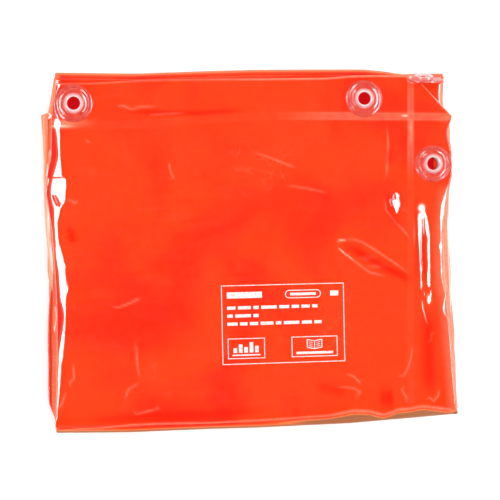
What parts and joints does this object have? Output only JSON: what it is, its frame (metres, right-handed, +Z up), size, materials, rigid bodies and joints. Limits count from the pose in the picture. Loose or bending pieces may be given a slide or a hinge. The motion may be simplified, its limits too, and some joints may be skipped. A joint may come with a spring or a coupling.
{
  "type": "folded welding curtain",
  "caption": "Welding curtain of clear red sheet with welded hems and clear plastic eyelets, folded into a flat rectangular packet that opens at its creases.",
  "frame": {"origin": "bottom centre of the folded packet's box, on the surface it lies on", "axes": "+Z up out of the top fold, +X towards the side hem with the eyelets, +Y towards the hem with the two top eyelets"},
  "size_m": [0.435, 0.3748, 0.0605],
  "materials": {
    "sheet": "glossy, see-through red orange film",
    "hem": "glossy, two welded layers of film",
    "eyelet": "glossy, clear moulded plastic",
    "washer": "glossy, clear moulded plastic",
    "print": "pale screen print"
  },
  "bodies": {
    "fold_1": {"fold_1": "sheet", "top_hem": "hem", "side_hem": "hem", "printed_panel": "print", "top_left_eyelet": "eyelet", "top_right_eyelet": "eyelet", "side_eyelet": "eyelet", "top_left_washer": "washer", "top_right_washer": "washer", "side_washer": "washer", "fold_1_back_eyelets": "eyelet", "fold_1_back_washers": "washer", "fold_1_inner_eyelets": "eyelet", "fold_1_inner_washers": "washer"},
    "fold_2": {"fold_2": "sheet", "corner_flap": "sheet", "crease_eyelet": "eyelet", "crease_washer": "washer", "fold_2_eyelets": "eyelet", "fold_2_washers": "washer"},
    "fold_3": {"fold_3": "sheet", "fold_3_eyelets": "eyelet", "fold_3_washers": "washer"},
    "fold_4": {"fold_4": "sheet", "fold_4_eyelets": "eyelet", "fold_4_washers": "washer"},
    "fold_5": {"fold_5": "sheet", "fold_5_eyelets": "eyelet", "fold_5_washers": "washer"},
    "fold_6": {"fold_6": "sheet", "fold_6_eyelets": "eyelet", "fold_6_washers": "washer", "fold_6_inner_eyelets": "eyelet", "fold_6_inner_washers": "washer"}
  },
  "joints": [
    {"name": "crease_1", "type": "hinge", "parent": "fold_2", "child": "fold_1", "pos_m": [0, -0.1877, 0.0377], "axis": [1, 0, 0], "range_deg": [0, 178]},
    {"name": "crease_2", "type": "hinge", "parent": "fold_3", "child": "fold_2", "pos_m": [0, 0.1783, 0.0307], "axis": [-1, 0, 0], "range_deg": [0, 178]},
    {"name": "crease_3", "type": "hinge", "parent": "fold_4", "child": "fold_3", "pos_m": [0, -0.1877, 0.0237], "axis": [1, 0, 0], "range_deg": [0, 178]},
    {"name": "crease_4", "type": "hinge", "parent": "fold_5", "child": "fold_4", "pos_m": [0, 0.1783, 0.0167], "axis": [-1, 0, 0], "range_deg": [0, 178]},
    {"name": "crease_5", "type": "hinge", "parent": "fold_6", "child": "fold_5", "pos_m": [0, -0.1877, 0.0097], "axis": [1, 0, 0], "range_deg": [0, 178]}
  ]
}
